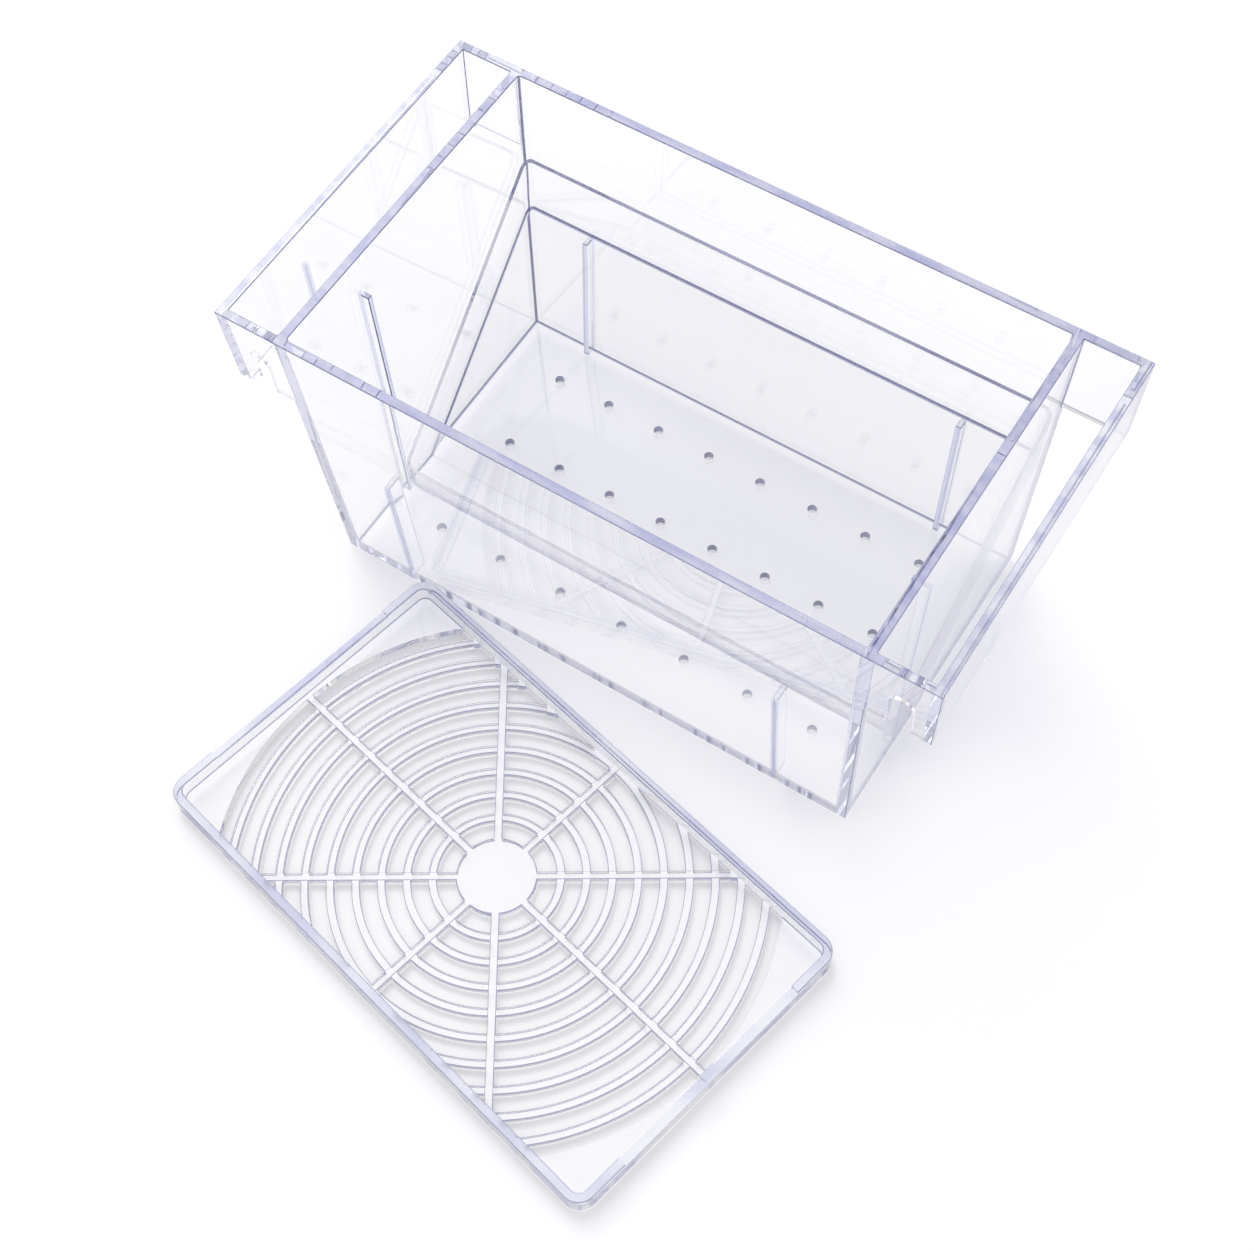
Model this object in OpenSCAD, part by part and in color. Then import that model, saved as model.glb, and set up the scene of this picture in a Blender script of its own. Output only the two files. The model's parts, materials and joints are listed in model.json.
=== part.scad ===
// Clear fish breeding box that hangs on the edge of a tank.
// Three loose mouldings: the hooked box, a sloping insert inside it, and a flat grille plate.
// Millimetres, up is +Z, the origin is the middle of the underside of the box.

/* [Box] */
// Length of the chamber at the rim, outside
chamber_l = 165; // [130:1:200]
// Width at the rim, outside
chamber_w = 105; // [80:1:140]
// Height from the underside to the rim
body_h = 98; // [70:1:130]
// Thickness of the walls and the floor
wall = 2.6; // [1.6:0.1:4]
// How far a long wall leans inward over the full height
lean_long = 5.75; // [0:0.25:8]
// How far an end wall leans inward over the full height
lean_end = 2.75; // [0:0.25:5]

/* [Hooks] */
// Length of a hook arm, from the end wall to the outside of the hook plate
arm = 17.5; // [14:0.5:40]
// Height of the hook arms and hook plates
hook_h = 26.5; // [16:0.5:40]
// Width of the round-topped notch in a front hook arm
notch_w = 6.8; // [4:0.2:10]
// Height of the notch
notch_h = 14.6; // [8:0.2:20]

/* [Floor holes] */
// Diameter of the drain holes
hole_d = 2.8; // [2:0.1:5]
// Holes in the back row and in the middle row
hole_n = 8; // [4:1:12]
// Pitch of the back and middle rows
hole_pitch = 17; // [12:0.2:20]
// Holes in the front row
front_hole_n = 7; // [3:1:11]
// Pitch of the front row
front_hole_pitch = 20; // [14:0.5:24]
// Distance of the back row behind the centre
row_back = 30; // [20:0.5:40]
// Distance of the middle row behind the centre
row_mid = 4; // [-10:0.5:12]
// Distance of the front row ahead of the centre
row_front = 28; // [22:0.5:38]

/* [Ribs] */
// Height of the four support ribs above the underside
rib_top = 49.5; // [30:0.5:60]
// Thickness of every rib
rib_w = 1.6; // [1.2:0.1:3]
// How far a back rib or a tall end rib stands out from its wall
rib_d = 2.5; // [1.5:0.1:4]
// How far a front rib stands out from its wall
front_rib_d = 4.5; // [2:0.1:6]
// Distance of the support ribs from the middle of the box
rib_x = 58; // [40:1:65]
// Depth of the tops of the tall end ribs below the rim
stop_drop = 12; // [4:0.5:30]
// Distance of the tall end ribs ahead of the centre
stop_y = 22; // [15:0.5:27]

/* [Sloping insert] */
// Length of the flat foot in front of the slope
foot_l = 10.5; // [6:0.5:20]
// Height of the upstands over the slope, measured straight up
edge_h = 15.5; // [10:0.1:18]
// Thickness of the sloping plate
plate_t = 1.5; // [1.2:0.1:3]
// Thickness of the upstands and of the foot
side_t = 1; // [0.8:0.1:2]
// Gap between the insert and the walls
insert_gap = 0.4; // [0.3:0.05:1]
// Gap under the foot and over the support ribs
foot_gap = 0.3; // [0.1:0.05:0.5]

/* [Grille plate] */
// Length of the grille plate
grille_l = 154.5; // [120:0.5:156]
// Width of the grille plate
grille_w = 91; // [70:0.5:93]
// Height of its upright edge
rail_h = 7.5; // [5:0.5:12]
// Thickness of the upright edge
rail_t = 2.4; // [1.6:0.1:4]
// Corner radius of the grille plate
grille_r = 5; // [3:0.5:8]
// Thickness of the bars and of the solid ends
bar_h = 2.5; // [1.5:0.1:4]
// Radius of the plain disc in the middle
disc_r = 10.5; // [6:0.5:14]
// Mean radius of the smallest of the nine rings
ring_r = 16.5; // [14:0.5:20]
// Width of a solid end where it is narrowest
end_land = 1.2; // [0.8:0.1:3]
// Slot between the largest ring and the solid ends
end_slot = 3.3; // [2:0.1:6]
// Width of a ring bar
ring_w = 2.2; // [1.5:0.1:3]
// Width of a spoke
spoke_w = 2.2; // [1.5:0.1:4]
// Drop of the low middle part of the two short rails
dip = 1.2; // [0.5:0.1:3]
// Length of that low part
dip_l = 60; // [30:1:70]
// Width of the catch on the right rail
catch_w = 4.4; // [2:0.1:10]
// Height of the catch above the low part of that rail
catch_h = 2; // [0.6:0.1:4]
// Where the grille plate lies on the table, left to right
lie_x = 12.5; // [-40:0.1:60]
// Gap between its nearest corner and the box
lie_gap = 1.2; // [0.5:0.1:40]
// How far it is turned clockwise, seen from above
lie_turn = 12.6; // [0:0.1:45]

/* [Hidden] */
$fn = 64;
// Facets of the large circles, a length greater than any piece, and how far a cut runs past a face.
ring_fn = 96;
big = 400;
past = 1;
hx = chamber_l / 2;
hy = chamber_w / 2;
sx = lean_end / body_h;
sy = lean_long / body_h;
stop_top = body_h - stop_drop;
hook_z = body_h - hook_h;
slope_front = rib_w / 2 + insert_gap - stop_y;
foot_z = wall + foot_gap;
foot_y1 = slope_front + side_t + foot_l;
rest_y = hy - wall - rib_d - sy * (body_h - rib_top);
slope_m = (rib_top + foot_gap - foot_z) / (rest_y - foot_y1);
slope_a = atan(slope_m);
back_out = hy - wall - insert_gap - sy * body_h;
back_in = back_out - side_t;
under_b = foot_z - slope_m * foot_y1;
plate_b = under_b + plate_t / cos(slope_a);
edge_b = plate_b + edge_h;
foot_y2 = (foot_z + side_t - plate_b) / slope_m;
in_l = grille_l - 2 * rail_t;
in_w = grille_w - 2 * rail_t;
web_r = in_l / 2 - end_land;
ring_n = 9;
spoke_n = 8;
ring_step = (web_r - end_slot - ring_w / 2 - ring_r) / (ring_n - 1);
corner_l = grille_l / 2 - grille_r;
corner_w = grille_w / 2 - grille_r;
lie_reach = corner_l * sin(lie_turn) + corner_w * cos(lie_turn) + grille_r;
lie_y = hy - sy * (body_h - rail_h) + lie_gap + lie_reach;

// Where the leaning line y = a + sy * z meets the sloping line z = b + slope_m * y.
function meet(a, b) = [(a + sy * b) / (1 - sy * slope_m), b + slope_m * (a + sy * b) / (1 - sy * slope_m)];
// Half width and half length at height z of a leaning face that is h from the middle at the rim.
function half_y(h, z) = h - sy * (body_h - z);
function half_x(h, z) = h - sx * (body_h - z);

// A leaning slab along X: side s, from a to b out from the middle at the rim, between two heights.
module slab_y(s, a, b, z0, z1) {
    rotate([90, 0, 90])
        translate([0, 0, -big / 2])
            linear_extrude(height = big)
                polygon([
                    [s * half_y(a, z0), z0],
                    [s * half_y(b, z0), z0],
                    [s * half_y(b, z1), z1],
                    [s * half_y(a, z1), z1]
                ]);
}

// The same along Y.
module slab_x(s, a, b, z0, z1) {
    rotate([90, 0, 0])
        translate([0, 0, -big / 2])
            linear_extrude(height = big)
                polygon([
                    [s * half_x(a, z0), z0],
                    [s * half_x(b, z0), z0],
                    [s * half_x(b, z1), z1],
                    [s * half_x(a, z1), z1]
                ]);
}

// Everything between the two leaning faces that are h from the middle at the rim.
module between_ends(h, z0, z1) {
    rotate([90, 0, 0])
        translate([0, 0, -big / 2])
            linear_extrude(height = big)
                polygon([[-half_x(h, z0), z0], [half_x(h, z0), z0], [half_x(h, z1), z1], [-half_x(h, z1), z1]]);
}

// The same between the two long faces.
module between_sides(h, z0, z1) {
    rotate([90, 0, 90])
        translate([0, 0, -big / 2])
            linear_extrude(height = big)
                polygon([[-half_y(h, z0), z0], [half_y(h, z0), z0], [half_y(h, z1), z1], [-half_y(h, z1), z1]]);
}

// Long walls of the chamber, side -1 is the front and 1 the back.
module long_wall(s) {
    color([0.86, 0.86, 0.95, 0.5])
        intersection() {
            slab_y(s, hy - wall, hy, 0, body_h);
            between_ends(hx, 0, body_h);
        }
}

module front_wall() {
    long_wall(-1);
}

module back_wall() {
    long_wall(1);
}

// End walls of the chamber fit between the long walls.
module end_wall(s) {
    color([0.84, 0.84, 0.95, 0.5])
        intersection() {
            slab_x(s, hx - wall, hx, 0, body_h);
            between_sides(hy - wall, 0, body_h);
        }
}

module left_end_wall() {
    end_wall(-1);
}

module right_end_wall() {
    end_wall(1);
}

// One row of drain holes.
module hole_row(n, pitch, y) {
    for (i = [0 : n - 1])
        translate([(i - (n - 1) / 2) * pitch, y, -past])
            cylinder(d = hole_d, h = wall + 2 * past);
}

// Floor between the four walls, with three rows of drain holes.
module floor_panel() {
    color([0.88, 0.88, 0.94, 0.5])
        difference() {
            intersection() {
                between_ends(hx - wall, 0, wall);
                between_sides(hy - wall, 0, wall);
            }
            hole_row(hole_n, hole_pitch, row_back);
            hole_row(hole_n, hole_pitch, row_mid);
            hole_row(front_hole_n, front_hole_pitch, -row_front);
        }
}

// Arm that carries a hook plate: the long wall run on past the end wall. Side s and long wall t.
module hook_arm(s, t) {
    color([0.82, 0.82, 0.95, 0.5])
        intersection() {
            slab_y(t, hy - wall, hy, hook_z, body_h);
            slab_x(s, hx, hx + arm, hook_z, body_h);
        }
}

// A front arm has a notch, open below, half way along it.
module front_arm(s) {
    color([0.82, 0.82, 0.95, 0.5])
        difference() {
            hook_arm(s, -1);
            translate([s * half_x(hx + arm / 2, hook_z), 0, hook_z])
                rotate([90, 0, 0])
                    translate([0, 0, -big / 2])
                        linear_extrude(height = big)
                            union() {
                                translate([-notch_w / 2, -past])
                                    square([notch_w, past + notch_h - notch_w / 2]);
                                translate([0, notch_h - notch_w / 2])
                                    circle(d = notch_w);
                            }
        }
}

module left_front_arm() {
    front_arm(-1);
}

module left_back_arm() {
    hook_arm(-1, 1);
}

module right_front_arm() {
    front_arm(1);
}

module right_back_arm() {
    hook_arm(1, 1);
}

// Plate that drops behind the tank glass.
module hook_plate(s) {
    color([0.8, 0.8, 0.95, 0.5])
        intersection() {
            slab_x(s, hx + arm - wall, hx + arm, hook_z, body_h);
            between_sides(hy - wall, hook_z, body_h);
        }
}

module left_hook_plate() {
    hook_plate(-1);
}

module right_hook_plate() {
    hook_plate(1);
}

// Short upright rib on a long wall; the slope of the insert rests on the two at the back.
module support_rib(s, x, d) {
    color([0.75, 0.77, 0.95, 0.6])
        intersection() {
            slab_y(s, hy - wall - d, hy - wall, wall, rib_top);
            translate([x - rib_w / 2, -big / 2, 0])
                cube([rib_w, big, body_h]);
        }
}

module back_left_rib() {
    support_rib(1, -rib_x, rib_d);
}

module back_right_rib() {
    support_rib(1, rib_x, rib_d);
}

module front_left_rib() {
    support_rib(-1, -rib_x, front_rib_d);
}

module front_right_rib() {
    support_rib(-1, rib_x, front_rib_d);
}

// Tall rib on an end wall; it stops the foot of the insert.
module stop_rib(s) {
    color([0.75, 0.77, 0.95, 0.6])
        intersection() {
            slab_x(s, hx - wall - rib_d, hx - wall, wall, stop_top);
            translate([-big / 2, -stop_y - rib_w / 2, 0])
                cube([big, rib_w, body_h]);
        }
}

module left_stop_rib() {
    stop_rib(-1);
}

module right_stop_rib() {
    stop_rib(1);
}

// Side view of a piece of the insert, drawn along X between its two side upstands.
module insert_run(pts) {
    color([0.84, 0.86, 0.97, 0.5])
        intersection() {
            rotate([90, 0, 90])
                translate([0, 0, -big / 2])
                    linear_extrude(height = big)
                        polygon(pts);
            between_ends(hx - wall - insert_gap - side_t, 0, body_h);
        }
}

module slope_plate() {
    insert_run([[foot_y1, foot_z], meet(back_in, under_b), meet(back_in, plate_b), [foot_y2, foot_z + side_t]]);
}

module slope_foot() {
    insert_run([
        [slope_front + side_t, foot_z],
        [foot_y1, foot_z],
        [foot_y2, foot_z + side_t],
        [slope_front + side_t, foot_z + side_t]
    ]);
}

module slope_back_edge() {
    insert_run([meet(back_out, under_b), meet(back_out, edge_b), meet(back_in, edge_b), meet(back_in, under_b)]);
}

module slope_front_edge() {
    insert_run([
        [slope_front, foot_z],
        [slope_front + side_t, foot_z],
        [slope_front + side_t, edge_b + slope_m * (slope_front + side_t)],
        [slope_front, edge_b + slope_m * slope_front]
    ]);
}

// Upstand beside the slope, against an end wall.
module slope_side(s) {
    color([0.8, 0.83, 0.97, 0.5])
        intersection() {
            slab_x(s, hx - wall - insert_gap - side_t, hx - wall - insert_gap, 0, body_h);
            rotate([90, 0, 90])
                translate([0, 0, -big / 2])
                    linear_extrude(height = big)
                        polygon([
                            [slope_front, foot_z],
                            [foot_y1, foot_z],
                            meet(back_out, under_b),
                            meet(back_out, edge_b),
                            [slope_front, edge_b + slope_m * slope_front]
                        ]);
        }
}

module slope_left_side() {
    slope_side(-1);
}

module slope_right_side() {
    slope_side(1);
}

// The grille plate is drawn flat about its own middle and then laid on the table.
module lay() {
    translate([lie_x, -lie_y, 0])
        rotate([0, 0, -lie_turn])
            children();
}

module round_rect(l, w, r) {
    union() {
        square([l - 2 * r, w], center = true);
        square([l, w - 2 * r], center = true);
        for (i = [-1, 1])
            for (j = [-1, 1])
                translate([i * (l / 2 - r), j * (w / 2 - r)])
                    circle(r = r);
    }
}

// Upright edge: two long rails and two short rails that take the corners.
module long_rail(s) {
    color([0.8, 0.8, 0.93, 0.6])
        lay()
            translate([-corner_l, s > 0 ? grille_w / 2 - rail_t : -grille_w / 2, 0])
                cube([2 * corner_l, rail_t, rail_h]);
}

module front_rail() {
    long_rail(-1);
}

module back_rail() {
    long_rail(1);
}

module short_rail(s) {
    color([0.8, 0.8, 0.93, 0.6])
        lay()
            difference() {
                linear_extrude(height = rail_h)
                    intersection() {
                        difference() {
                            round_rect(grille_l, grille_w, grille_r);
                            round_rect(in_l, in_w, grille_r - rail_t);
                        }
                        translate([s > 0 ? corner_l : -grille_l / 2, -grille_w / 2])
                            square([grille_r, grille_w]);
                    }
                translate([s * grille_l / 2 - 2 * rail_t, -dip_l / 2, rail_h - dip])
                    cube([4 * rail_t, dip_l, dip + past]);
            }
}

module left_rail() {
    short_rail(-1);
}

module right_rail() {
    short_rail(1);
}

// Small catch on the low part of the right rail.
module rail_catch() {
    color([0.78, 0.8, 0.95, 0.6])
        lay()
            translate([grille_l / 2 - rail_t, -catch_w / 2, rail_h - dip])
                cube([rail_t, catch_w, catch_h]);
}

// Solid end of the grille, outside the outermost slot.
module end_web(s) {
    color([0.9, 0.9, 0.96, 0.5])
        lay()
            linear_extrude(height = bar_h)
                difference() {
                    intersection() {
                        round_rect(in_l, in_w, grille_r - rail_t);
                        translate([s > 0 ? 0 : -grille_l, -grille_w])
                            square([grille_l, 2 * grille_w]);
                    }
                    circle(r = web_r, $fn = ring_fn);
                }
}

module left_end_web() {
    end_web(-1);
}

module right_end_web() {
    end_web(1);
}

module centre_disc() {
    color([0.94, 0.94, 0.98, 0.5])
        lay()
            cylinder(r = disc_r, h = bar_h);
}

// Flat outline of spoke k before it is trimmed; 0 points right, then each 45 degrees round.
module spoke_flat(k) {
    rotate([0, 0, k * 360 / spoke_n])
        translate([0, -spoke_w / 2])
            square([web_r + past, spoke_w]);
}

// Flat outline of ring i; it stops at the long rails.
module ring_flat(i) {
    intersection() {
        difference() {
            circle(r = ring_r + i * ring_step + ring_w / 2, $fn = ring_fn);
            circle(r = ring_r + i * ring_step - ring_w / 2, $fn = ring_fn);
        }
        square([grille_l, in_w], center = true);
    }
}

// A ring runs under the spokes in half its height, and each spoke over the rings in the other half.
module ring(i) {
    color([0.93, 0.93, 0.97, 0.6])
        lay()
            difference() {
                linear_extrude(height = bar_h)
                    ring_flat(i);
                translate([0, 0, bar_h / 2])
                    linear_extrude(height = bar_h)
                        for (k = [0 : spoke_n - 1])
                            spoke_flat(k);
            }
}

module ring_1() {
    ring(0);
}

module ring_2() {
    ring(1);
}

module ring_3() {
    ring(2);
}

module ring_4() {
    ring(3);
}

module ring_5() {
    ring(4);
}

module ring_6() {
    ring(5);
}

module ring_7() {
    ring(6);
}

module ring_8() {
    ring(7);
}

module ring_9() {
    ring(8);
}

module spoke(k) {
    color([0.95, 0.95, 0.98, 0.6])
        lay()
            difference() {
                linear_extrude(height = bar_h)
                    intersection() {
                        difference() {
                            spoke_flat(k);
                            circle(r = disc_r);
                        }
                        circle(r = web_r, $fn = ring_fn);
                        square([grille_l, in_w], center = true);
                    }
                translate([0, 0, -bar_h / 2])
                    linear_extrude(height = bar_h)
                        for (i = [0 : ring_n - 1])
                            ring_flat(i);
            }
}

module spoke_right() {
    spoke(0);
}

module spoke_back_right() {
    spoke(1);
}

module spoke_back() {
    spoke(2);
}

module spoke_back_left() {
    spoke(3);
}

module spoke_left() {
    spoke(4);
}

module spoke_front_left() {
    spoke(5);
}

module spoke_front() {
    spoke(6);
}

module spoke_front_right() {
    spoke(7);
}

front_wall();
back_wall();
left_end_wall();
right_end_wall();
floor_panel();
left_front_arm();
left_back_arm();
right_front_arm();
right_back_arm();
left_hook_plate();
right_hook_plate();
back_left_rib();
back_right_rib();
front_left_rib();
front_right_rib();
left_stop_rib();
right_stop_rib();
slope_plate();
slope_foot();
slope_back_edge();
slope_front_edge();
slope_left_side();
slope_right_side();
front_rail();
back_rail();
left_rail();
right_rail();
rail_catch();
left_end_web();
right_end_web();
centre_disc();
ring_1();
ring_2();
ring_3();
ring_4();
ring_5();
ring_6();
ring_7();
ring_8();
ring_9();
spoke_right();
spoke_back_right();
spoke_back();
spoke_back_left();
spoke_left();
spoke_front_left();
spoke_front();
spoke_front_right();
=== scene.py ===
"""Looks of a clear fish breeding box: the hooked box, its sloping insert and the loose grille plate.

Each of the three is one injection moulding of clear polystyrene. Its walls, ribs and bars run into each
other with no joint to see, so each is modelled here as one closed body that stands for its frame nodes.
"""

import json
import math

import bmesh
import bpy
from mathutils import Matrix, Vector


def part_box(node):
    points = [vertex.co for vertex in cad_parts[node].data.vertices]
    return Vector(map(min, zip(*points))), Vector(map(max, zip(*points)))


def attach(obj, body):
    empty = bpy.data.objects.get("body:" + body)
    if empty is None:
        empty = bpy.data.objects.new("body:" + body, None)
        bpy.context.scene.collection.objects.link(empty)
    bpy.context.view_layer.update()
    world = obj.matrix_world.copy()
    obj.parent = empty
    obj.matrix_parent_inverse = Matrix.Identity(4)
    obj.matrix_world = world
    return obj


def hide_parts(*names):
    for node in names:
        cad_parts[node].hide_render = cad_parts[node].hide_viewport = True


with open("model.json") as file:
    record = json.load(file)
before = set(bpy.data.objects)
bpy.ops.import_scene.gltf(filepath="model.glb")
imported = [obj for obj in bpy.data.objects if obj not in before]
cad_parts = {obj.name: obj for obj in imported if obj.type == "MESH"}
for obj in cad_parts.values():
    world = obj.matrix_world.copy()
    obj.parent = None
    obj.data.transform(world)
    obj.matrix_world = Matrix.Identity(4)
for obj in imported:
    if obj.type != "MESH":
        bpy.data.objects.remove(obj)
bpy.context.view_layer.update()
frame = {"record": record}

MM = 0.001


# Sizes taken from the frame


def low(node):
    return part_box(node)[0]


def high(node):
    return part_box(node)[1]


def middle(node):
    return (low(node) + high(node)) / 2


RIM = high("back_wall").z
WALL = high("floor_panel").z
CHAMBER_X = high("back_wall").x
CHAMBER_Y = high("back_wall").y
END_X = high("right_hook_plate").x
HOOK_Z = low("right_hook_plate").z
# How far a wall leans out for each metre that it rises
LEAN_X = (CHAMBER_X - WALL - high("floor_panel").x) / (RIM - WALL)
LEAN_Y = (CHAMBER_Y - WALL - high("floor_panel").y) / (RIM - WALL)

# Overlap between shapes that are joined, so that no skin is left between them
BITE = 0.6 * MM
# Clearance past a face that is cut away
PAST = 4 * MM


# Small modelling tools


def piece(name, bm):
    """Makes an object at the origin from a bmesh and frees the bmesh."""
    bmesh.ops.recalc_face_normals(bm, faces=bm.faces)
    mesh = bpy.data.meshes.new(name)
    bm.to_mesh(mesh)
    bm.free()
    obj = bpy.data.objects.new(name, mesh)
    bpy.context.scene.collection.objects.link(obj)
    return obj


def settle(obj):
    """Applies the modifiers of an object to its mesh."""
    shown = obj.evaluated_get(bpy.context.evaluated_depsgraph_get())
    made = bpy.data.meshes.new_from_object(shown)
    obj.modifiers.clear()
    old = obj.data
    obj.data = made
    bpy.data.meshes.remove(old)
    made.name = obj.name


def combine(base, tool, operation):
    """UNION, DIFFERENCE or INTERSECT of two closed bodies. The second is used up."""
    step = base.modifiers.new("combine", "BOOLEAN")
    step.object = tool
    step.operation = operation
    step.solver = "MANIFOLD"
    settle(base)
    spent = tool.data
    bpy.data.objects.remove(tool)
    bpy.data.meshes.remove(spent)
    return base


def clean(obj):
    """Joins corners that fall together and takes out seams across flat faces."""
    bm = bmesh.new()
    bm.from_mesh(obj.data)
    bmesh.ops.remove_doubles(bm, verts=bm.verts, dist=0.02 * MM)
    bmesh.ops.dissolve_limit(bm, angle_limit=math.radians(0.5), verts=bm.verts, edges=bm.edges)
    bm.to_mesh(obj.data)
    bm.free()


def soften(obj, radius, segments=2, angle=30, clamp=True):
    """Rounds every edge sharper than the angle, as a mould tool leaves it."""
    step = obj.modifiers.new("soften", "BEVEL")
    step.width = radius
    step.segments = segments
    step.limit_method = "ANGLE"
    step.angle_limit = math.radians(angle)
    step.use_clamp_overlap = clamp
    settle(obj)


def round_off(bm, geom, radius, segments, affect="EDGES"):
    bmesh.ops.bevel(
        bm,
        geom=geom,
        offset=radius,
        offset_type="OFFSET",
        affect=affect,
        segments=segments,
        profile=0.5,
        material=-1,
    )


def block(bottom, top):
    """A bmesh block between two level rectangles, each given as (x0, x1, y0, y1, z)."""
    bm = bmesh.new()
    bmesh.ops.create_cube(bm, size=1)
    ends = [[v for v in bm.verts if v.co.z < 0], [v for v in bm.verts if v.co.z > 0]]
    for verts, (x0, x1, y0, y1, z) in zip(ends, (bottom, top)):
        bmesh.ops.scale(bm, vec=(x1 - x0, y1 - y0, 0), verts=verts)
        bmesh.ops.translate(bm, vec=((x0 + x1) / 2, (y0 + y1) / 2, z), verts=verts)
    return bm


def slab(x0, x1, y0, y1, z0, z1):
    """A bmesh block with upright sides."""
    return block((x0, x1, y0, y1, z0), (x0, x1, y0, y1, z1))


def add_rod(bm, radius, length, segments, place):
    """Adds a closed rod to a bmesh. It stands on end about its middle before it is placed."""
    bmesh.ops.create_cone(
        bm,
        cap_ends=True,
        segments=segments,
        radius1=radius,
        radius2=radius,
        depth=length,
        matrix=place,
    )


def at_x(rim_x, z):
    """Place at height z of an end face that is at rim_x at the rim."""
    return rim_x + math.copysign(LEAN_X, rim_x) * (z - RIM)


def at_y(rim_y, z):
    """Place at height z of a long face that is at rim_y at the rim."""
    return rim_y + math.copysign(LEAN_Y, rim_y) * (z - RIM)


def leaning(x0, x1, y0, y1, z0, z1):
    """A block whose sides lean as the walls do, sized at the rim."""
    levels = [(at_x(x0, z), at_x(x1, z), at_y(y0, z), at_y(y1, z), z) for z in (z0, z1)]
    return block(*levels)


# The box

# Radius of the chamber's inside corners
INNER_R = 0.8 * MM
# Radius of the box's other edges
BOX_EDGE_R = 0.32 * MM
NOTCH_W = 6.8 * MM
NOTCH_H = 14.6 * MM
RIB_NOSE_R = 0.35 * MM
# How far each rib stands out from its wall
RIB_DEPTH = {
    "back_left_rib": 2.5 * MM,
    "back_right_rib": 2.5 * MM,
    "front_left_rib": 4.5 * MM,
    "front_right_rib": 4.5 * MM,
    "left_stop_rib": 2.5 * MM,
    "right_stop_rib": 2.5 * MM,
}
HOLE_D = 2.8 * MM
# Rows of drain holes: how many, how far apart, and where the row is in Y
HOLE_ROWS = ((8, 17 * MM, 30 * MM), (8, 17 * MM, 4 * MM), (7, 20 * MM, -28 * MM))


def chamber_body():
    """Chamber, hook arms and hook plates as one solid block, before it is hollowed."""
    body = piece("box_moulding", leaning(-CHAMBER_X, CHAMBER_X, -CHAMBER_Y, CHAMBER_Y, 0, RIM))
    wings = leaning(-END_X, END_X, -CHAMBER_Y, CHAMBER_Y, HOOK_Z, RIM)
    return combine(body, piece("wings", wings), "UNION")


def hollow(body):
    """Takes out the chamber and the two open gaps behind the hook plates."""
    x = CHAMBER_X - WALL
    y = CHAMBER_Y - WALL
    space = leaning(-x, x, -y, y, WALL, RIM + PAST)
    below_rim = [e for e in space.edges if min(v.co.z for v in e.verts) < RIM]
    round_off(space, below_rim, INNER_R, 3)
    combine(body, piece("chamber", space), "DIFFERENCE")
    for side in (-1, 1):
        ends = sorted((side * CHAMBER_X, side * (END_X - WALL)))
        gap = leaning(*ends, -y, y, HOOK_Z - PAST, RIM + PAST)
        combine(body, piece("gap", gap), "DIFFERENCE")


def notch(side):
    """Cutter for the round-topped notch in the front arm of one end."""
    x = side * (CHAMBER_X + (END_X - CHAMBER_X) / 2 - LEAN_X * (RIM - HOOK_Z))
    front = -CHAMBER_Y - PAST
    back = -CHAMBER_Y + WALL + PAST
    half = NOTCH_W / 2
    crown = HOOK_Z + NOTCH_H - half
    lying = Matrix.Translation((x, (front + back) / 2, crown)) @ Matrix.Rotation(math.pi / 2, 4, "X")
    bm = bmesh.new()
    add_rod(bm, half, back - front, 48, lying)
    stem = slab(x - half, x + half, front, back, HOOK_Z - PAST, crown)
    return combine(piece("crown", bm), piece("stem", stem), "UNION")


def rib(node):
    """An upright rib with a rounded nose and top, sunk a little into its wall."""
    a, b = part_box(node)
    on_long_wall = b.x - a.x < b.y - a.y
    axis, at, wall = (1, at_y, CHAMBER_Y - WALL) if on_long_wall else (0, at_x, CHAMBER_X - WALL)
    side = math.copysign(1, a[axis])
    nose = side * (wall - RIB_DEPTH[node])
    root = side * (wall + BITE)
    levels = []
    for z in (a.z - BITE, b.z):
        span = sorted((at(nose, z), at(root, z)))
        levels.append((a.x, b.x, *span, z) if on_long_wall else (*span, a.y, b.y, z))
    bm = block(*levels)
    # Edges of the nose, then those of the top that aren't among them
    halfway = (a[axis] + b[axis]) / 2
    free = [e for e in bm.edges if all((v.co[axis] - halfway) * side < 0 for v in e.verts)]
    free += [e for e in bm.edges if all(v.co.z == b.z for v in e.verts) and e not in free]
    round_off(bm, free, RIB_NOSE_R, 3)
    return piece(node, bm)


def drain_holes():
    """One cutter with a drill for each hole in the three rows."""
    bm = bmesh.new()
    for count, pitch, y in HOLE_ROWS:
        for i in range(count):
            x = (i - (count - 1) / 2) * pitch
            add_rod(bm, HOLE_D / 2, WALL + PAST, 32, Matrix.Translation((x, y, WALL / 2)))
    return piece("drills", bm)


def box_moulding():
    body = chamber_body()
    hollow(body)
    clean(body)
    soften(body, BOX_EDGE_R, 3, angle=40, clamp=False)
    for side in (-1, 1):
        combine(body, notch(side), "DIFFERENCE")
    for node in RIB_DEPTH:
        combine(body, rib(node), "UNION")
    combine(body, drain_holes(), "DIFFERENCE")
    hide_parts(*frame["record"]["behaviour"]["bodies"]["box"])
    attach(body, "box")
    return body


# The sloping insert

SIDE_T = high("slope_foot").z - low("slope_foot").z
PLATE_T = 1.5 * MM
INSERT_FRONT = low("slope_front_edge").y
INSERT_BACK = high("slope_back_edge").y
INSERT_TOP = high("slope_back_edge").z
FOOT_Z = low("slope_foot").z
FOOT_END = high("slope_foot").y
# Clearance to each end wall, and half the insert's length at the rim
INSERT_GAP = 0.4 * MM
INSERT_X = CHAMBER_X - WALL - INSERT_GAP
# The underside starts at the foot and passes the low edge of the back upstand
SLOPE = (low("slope_back_edge").z - FOOT_Z) / (low("slope_back_edge").y - FOOT_END)
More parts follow.
